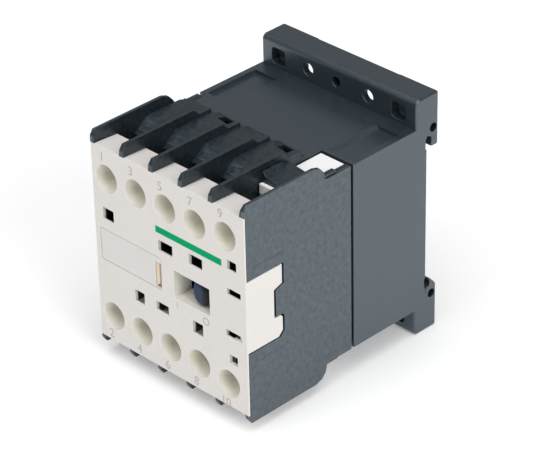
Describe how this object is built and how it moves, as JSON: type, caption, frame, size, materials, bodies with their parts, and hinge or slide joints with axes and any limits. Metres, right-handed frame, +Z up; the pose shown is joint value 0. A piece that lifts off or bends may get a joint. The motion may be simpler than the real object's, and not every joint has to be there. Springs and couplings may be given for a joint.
{
  "type": "mini contactor",
  "caption": "Small contactor for a mounting rail, with screw terminals above and below, arc fins, a rear coil casing and a sliding position indicator.",
  "frame": {"origin": "middle of the flat seat that the mounting rail presses on, at the back", "axes": "+Z up with the contactor on a level rail, +X to the right of someone facing it, -Y out of its front face"},
  "size_m": [0.045, 0.057, 0.058],
  "materials": {
    "dark_plastic": "fine moulded grain",
    "front_grey_plastic": "fine moulded grain",
    "off_white_plastic": "satin moulded",
    "marker_plastic": "satin moulded",
    "blue_plastic": "glossy moulded",
    "carrier_plastic": "phenolic moulding",
    "magnet_steel": "stacked laminations",
    "copper": "bare copper",
    "coil_white_plastic": "satin moulded",
    "enamelled_wire": "enamelled copper turns",
    "terminal_brass": "bright stamped",
    "spring_steel": "drawn wire",
    "plated_steel": "zinc plated",
    "beige_plastic": "satin moulded",
    "green_print": "printed band",
    "grey_print": "printed marks"
  },
  "bodies": {
    "case": {"rear_housing": "dark_plastic", "front_housing": "front_grey_plastic", "front_cover": "off_white_plastic", "marker_holder": "marker_plastic", "magnet_core": "magnet_steel", "shading_ring_upper": "copper", "shading_ring_lower": "copper", "coil_bobbin": "coil_white_plastic", "coil_winding": "enamelled_wire", "coil_terminal_upper": "terminal_brass", "coil_terminal_lower": "terminal_brass", "return_spring_upper": "spring_steel", "return_spring_lower": "spring_steel", "fixed_contact_upper_1": "terminal_brass", "fixed_contact_lower_1": "terminal_brass", "fixed_contact_upper_2": "terminal_brass", "fixed_contact_lower_2": "terminal_brass", "fixed_contact_upper_3": "terminal_brass", "fixed_contact_lower_3": "terminal_brass", "fixed_contact_upper_4": "terminal_brass", "fixed_contact_lower_4": "terminal_brass"},
    "carrier": {"contact_carrier": "carrier_plastic", "indicator": "blue_plastic", "armature": "magnet_steel", "contact_spring_1": "spring_steel", "contact_spring_2": "spring_steel", "contact_spring_3": "spring_steel", "contact_spring_4": "spring_steel"},
    "bridge_1": {"contact_bridge_1": "copper"},
    "bridge_2": {"contact_bridge_2": "copper"},
    "bridge_3": {"contact_bridge_3": "copper"},
    "bridge_4": {"contact_bridge_4": "copper"},
    "clamp_upper_1": {"wire_clamp_upper_1": "plated_steel"},
    "screw_upper_1": {"terminal_screw_upper_1": "plated_steel"},
    "clamp_upper_2": {"wire_clamp_upper_2": "plated_steel"},
    "screw_upper_2": {"terminal_screw_upper_2": "plated_steel"},
    "clamp_upper_3": {"wire_clamp_upper_3": "plated_steel"},
    "screw_upper_3": {"terminal_screw_upper_3": "plated_steel"},
    "clamp_upper_4": {"wire_clamp_upper_4": "plated_steel"},
    "screw_upper_4": {"terminal_screw_upper_4": "plated_steel"},
    "clamp_upper_5": {"wire_clamp_upper_5": "plated_steel"},
    "screw_upper_5": {"terminal_screw_upper_5": "plated_steel"},
    "clamp_lower_1": {"wire_clamp_lower_1": "plated_steel"},
    "screw_lower_1": {"terminal_screw_lower_1": "plated_steel"},
    "clamp_lower_2": {"wire_clamp_lower_2": "plated_steel"},
    "screw_lower_2": {"terminal_screw_lower_2": "plated_steel"},
    "clamp_lower_3": {"wire_clamp_lower_3": "plated_steel"},
    "screw_lower_3": {"terminal_screw_lower_3": "plated_steel"},
    "clamp_lower_4": {"wire_clamp_lower_4": "plated_steel"},
    "screw_lower_4": {"terminal_screw_lower_4": "plated_steel"},
    "clamp_lower_5": {"wire_clamp_lower_5": "plated_steel"},
    "screw_lower_5": {"terminal_screw_lower_5": "plated_steel"},
    "rail_clip": {"rail_spring": "spring_steel"}
  },
  "joints": [
    {"name": "carrier_travel", "type": "slide", "parent": "case", "child": "carrier", "axis": [1, 0, 0], "range_m": [-0.004, 0], "stiffness_N_per_m": 400, "springref_m": 0.005, "deforming": ["return_spring_upper", "return_spring_lower"]},
    {"name": "bridge_travel_1", "type": "slide", "parent": "carrier", "child": "bridge_1", "axis": [1, 0, 0], "range_m": [0, 0.0008], "deforming": ["contact_spring_1"]},
    {"name": "bridge_travel_2", "type": "slide", "parent": "carrier", "child": "bridge_2", "axis": [1, 0, 0], "range_m": [0, 0.0008], "deforming": ["contact_spring_2"]},
    {"name": "bridge_travel_3", "type": "slide", "parent": "carrier", "child": "bridge_3", "axis": [1, 0, 0], "range_m": [0, 0.0008], "deforming": ["contact_spring_3"]},
    {"name": "bridge_travel_4", "type": "slide", "parent": "carrier", "child": "bridge_4", "axis": [1, 0, 0], "range_m": [0, 0.0008], "deforming": ["contact_spring_4"]},
    {"name": "clamp_travel_upper_1", "type": "slide", "parent": "case", "child": "clamp_upper_1", "axis": [0, 1, 0], "range_m": [0, 0.0024]},
    {"name": "screw_turn_upper_1", "type": "hinge", "parent": "clamp_upper_1", "child": "screw_upper_1", "pos_m": [-0.01814, -0.0466, 0.0159], "axis": [0, 1, 0], "range_deg": [0, 1440]},
    {"name": "clamp_travel_upper_2", "type": "slide", "parent": "case", "child": "clamp_upper_2", "axis": [0, 1, 0], "range_m": [0, 0.0024]},
    {"name": "screw_turn_upper_2", "type": "hinge", "parent": "clamp_upper_2", "child": "screw_upper_2", "pos_m": [-0.00942, -0.0466, 0.0159], "axis": [0, 1, 0], "range_deg": [0, 1440]},
    {"name": "clamp_travel_upper_3", "type": "slide", "parent": "case", "child": "clamp_upper_3", "axis": [0, 1, 0], "range_m": [0, 0.0024]},
    {"name": "screw_turn_upper_3", "type": "hinge", "parent": "clamp_upper_3", "child": "screw_upper_3", "pos_m": [-0.0007, -0.0466, 0.0159], "axis": [0, 1, 0], "range_deg": [0, 1440]},
    {"name": "clamp_travel_upper_4", "type": "slide", "parent": "case", "child": "clamp_upper_4", "axis": [0, 1, 0], "range_m": [0, 0.0024]},
    {"name": "screw_turn_upper_4", "type": "hinge", "parent": "clamp_upper_4", "child": "screw_upper_4", "pos_m": [0.00802, -0.0466, 0.0159], "axis": [0, 1, 0], "range_deg": [0, 1440]},
    {"name": "clamp_travel_upper_5", "type": "slide", "parent": "case", "child": "clamp_upper_5", "axis": [0, 1, 0], "range_m": [0, 0.0024]},
    {"name": "screw_turn_upper_5", "type": "hinge", "parent": "clamp_upper_5", "child": "screw_upper_5", "pos_m": [0.01674, -0.0466, 0.01675], "axis": [0, 1, 0], "range_deg": [0, 1440]},
    {"name": "clamp_travel_lower_1", "type": "slide", "parent": "case", "child": "clamp_lower_1", "axis": [0, 1, 0], "range_m": [0, 0.0024]},
    {"name": "screw_turn_lower_1", "type": "hinge", "parent": "clamp_lower_1", "child": "screw_lower_1", "pos_m": [-0.01814, -0.0466, -0.0179], "axis": [0, 1, 0], "range_deg": [0, 1440]},
    {"name": "clamp_travel_lower_2", "type": "slide", "parent": "case", "child": "clamp_lower_2", "axis": [0, 1, 0], "range_m": [0, 0.0024]},
    {"name": "screw_turn_lower_2", "type": "hinge", "parent": "clamp_lower_2", "child": "screw_lower_2", "pos_m": [-0.00942, -0.0466, -0.0179], "axis": [0, 1, 0], "range_deg": [0, 1440]},
    {"name": "clamp_travel_lower_3", "type": "slide", "parent": "case", "child": "clamp_lower_3", "axis": [0, 1, 0], "range_m": [0, 0.0024]},
    {"name": "screw_turn_lower_3", "type": "hinge", "parent": "clamp_lower_3", "child": "screw_lower_3", "pos_m": [-0.0007, -0.0466, -0.0179], "axis": [0, 1, 0], "range_deg": [0, 1440]},
    {"name": "clamp_travel_lower_4", "type": "slide", "parent": "case", "child": "clamp_lower_4", "axis": [0, 1, 0], "range_m": [0, 0.0024]},
    {"name": "screw_turn_lower_4", "type": "hinge", "parent": "clamp_lower_4", "child": "screw_lower_4", "pos_m": [0.00802, -0.0466, -0.0179], "axis": [0, 1, 0], "range_deg": [0, 1440]},
    {"name": "clamp_travel_lower_5", "type": "slide", "parent": "case", "child": "clamp_lower_5", "axis": [0, 1, 0], "range_m": [0, 0.0024]},
    {"name": "screw_turn_lower_5", "type": "hinge", "parent": "clamp_lower_5", "child": "screw_lower_5", "pos_m": [0.01674, -0.0466, -0.01875], "axis": [0, 1, 0], "range_deg": [0, 1440]},
    {"name": "rail_spring_lift", "type": "slide", "parent": "case", "child": "rail_clip", "axis": [0, 0, 1], "range_m": [0, 0.0012], "stiffness_N_per_m": 1500, "springref_m": -0.0005}
  ],
  "couplings": [
    {"joint": "bridge_travel_1", "follows": "carrier_travel", "ratio": -0.2},
    {"joint": "bridge_travel_2", "follows": "carrier_travel", "ratio": -0.2},
    {"joint": "bridge_travel_3", "follows": "carrier_travel", "ratio": -0.2},
    {"joint": "bridge_travel_4", "follows": "carrier_travel", "ratio": -0.2},
    {"joint": "screw_turn_upper_1", "follows": "clamp_travel_upper_1", "rad_per_m": 10472},
    {"joint": "screw_turn_upper_2", "follows": "clamp_travel_upper_2", "rad_per_m": 10472},
    {"joint": "screw_turn_upper_3", "follows": "clamp_travel_upper_3", "rad_per_m": 10472},
    {"joint": "screw_turn_upper_4", "follows": "clamp_travel_upper_4", "rad_per_m": 10472},
    {"joint": "screw_turn_upper_5", "follows": "clamp_travel_upper_5", "rad_per_m": 10472},
    {"joint": "screw_turn_lower_1", "follows": "clamp_travel_lower_1", "rad_per_m": 10472},
    {"joint": "screw_turn_lower_2", "follows": "clamp_travel_lower_2", "rad_per_m": 10472},
    {"joint": "screw_turn_lower_3", "follows": "clamp_travel_lower_3", "rad_per_m": 10472},
    {"joint": "screw_turn_lower_4", "follows": "clamp_travel_lower_4", "rad_per_m": 10472},
    {"joint": "screw_turn_lower_5", "follows": "clamp_travel_lower_5", "rad_per_m": 10472}
  ]
}
